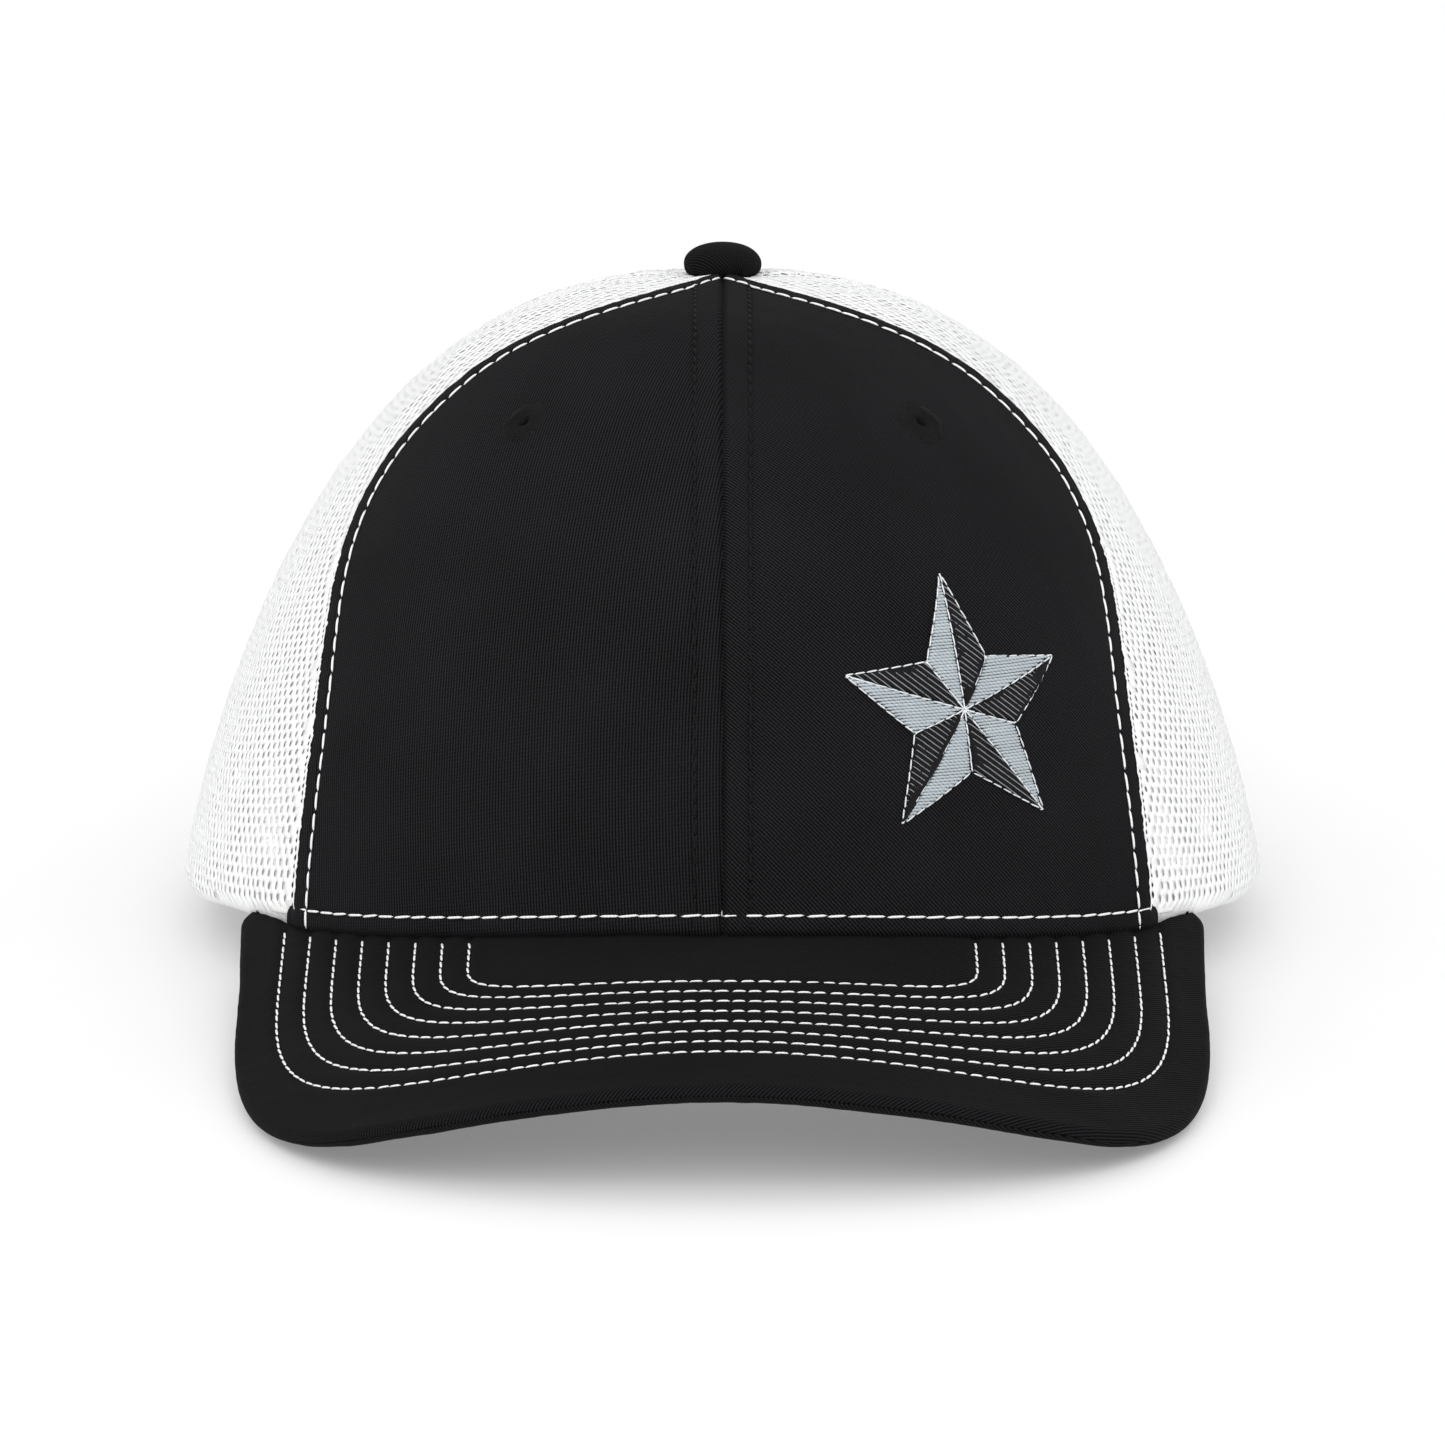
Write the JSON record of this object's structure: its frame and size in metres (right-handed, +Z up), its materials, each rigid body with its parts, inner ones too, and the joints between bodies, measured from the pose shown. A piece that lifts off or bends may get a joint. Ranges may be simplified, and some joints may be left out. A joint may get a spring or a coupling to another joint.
{
  "type": "trucker cap",
  "caption": "Structured trucker cap with black twill front, white mesh sides and back, curved stitched visor, snap straps and an embroidered star.",
  "frame": {"origin": "centre of the bounding box at its lowest point: the flat surface that the cap stands on, under its middle", "axes": "+Z up. The visor points along -Y, so the cap is longest along Y. +X is the wearer's left."},
  "size_m": [0.1886, 0.2545, 0.1213],
  "materials": {
    "black_twill": "cotton twill, fine diagonal ribs, soft sheen",
    "white_mesh": "knit polyester mesh with small upright holes",
    "buckram": "stiffened open-weave cloth",
    "white_tape": "woven seam tape",
    "button_metal": "pressed, dull",
    "visor_board": "moulded polyethylene sheet",
    "white_thread": "polyester sewing thread",
    "black_thread": "polyester sewing thread, slightly shiny",
    "sweatband_cloth": "brushed cotton over thin foam",
    "binding_cloth": "folded woven binding",
    "strap_plastic": "translucent white flexible plastic",
    "silver_thread": "silver-grey satin embroidery",
    "dark_thread": "black embroidery with fine grey lines"
  },
  "bodies": {
    "cap": {"front_panel_left": "black_twill", "front_panel_right": "black_twill", "buckram_left": "buckram", "buckram_right": "buckram", "side_mesh_left": "white_mesh", "side_mesh_right": "white_mesh", "rear_mesh_left": "white_mesh", "rear_mesh_right": "white_mesh", "seam_tape_front_centre": "white_tape", "seam_tape_front_left": "white_tape", "seam_tape_front_right": "white_tape", "seam_tape_rear_left": "white_tape", "seam_tape_rear_right": "white_tape", "seam_tape_rear_centre": "white_tape", "button_cover": "black_twill", "button_core": "button_metal", "button_rivet": "button_metal", "button_back": "button_metal", "visor_top_cover": "black_twill", "visor_board": "visor_board", "visor_under_cover": "black_twill", "visor_stitching": "white_thread", "sweatband": "sweatband_cloth", "rear_binding": "binding_cloth", "hole_strap_tab": "strap_plastic", "peg_strap_tab": "strap_plastic", "eyelet_left": "black_thread", "eyelet_right": "black_thread", "star_light": "silver_thread", "star_dark": "dark_thread", "panel_edge_stitching": "white_thread", "base_stitching": "white_thread", "centre_seam_stitching": "black_thread"},
    "hole_strap": {"hole_strap": "strap_plastic"},
    "peg_strap": {"peg_strap": "strap_plastic"}
  },
  "joints": [
    {"name": "hole_strap_bend", "type": "hinge", "parent": "cap", "child": "hole_strap", "pos_m": [0.03634, 0.11811, 0.01272], "axis": [0.0603, 0.046, -0.9971], "range_deg": [0, 70], "stiffness_Nm_per_rad": 0.01},
    {"name": "peg_strap_bend", "type": "hinge", "parent": "cap", "child": "peg_strap", "pos_m": [-0.03579, 0.11688, 0.01283], "axis": [-0.0603, 0.046, -0.9971], "range_deg": [0, 60], "stiffness_Nm_per_rad": 0.01}
  ]
}
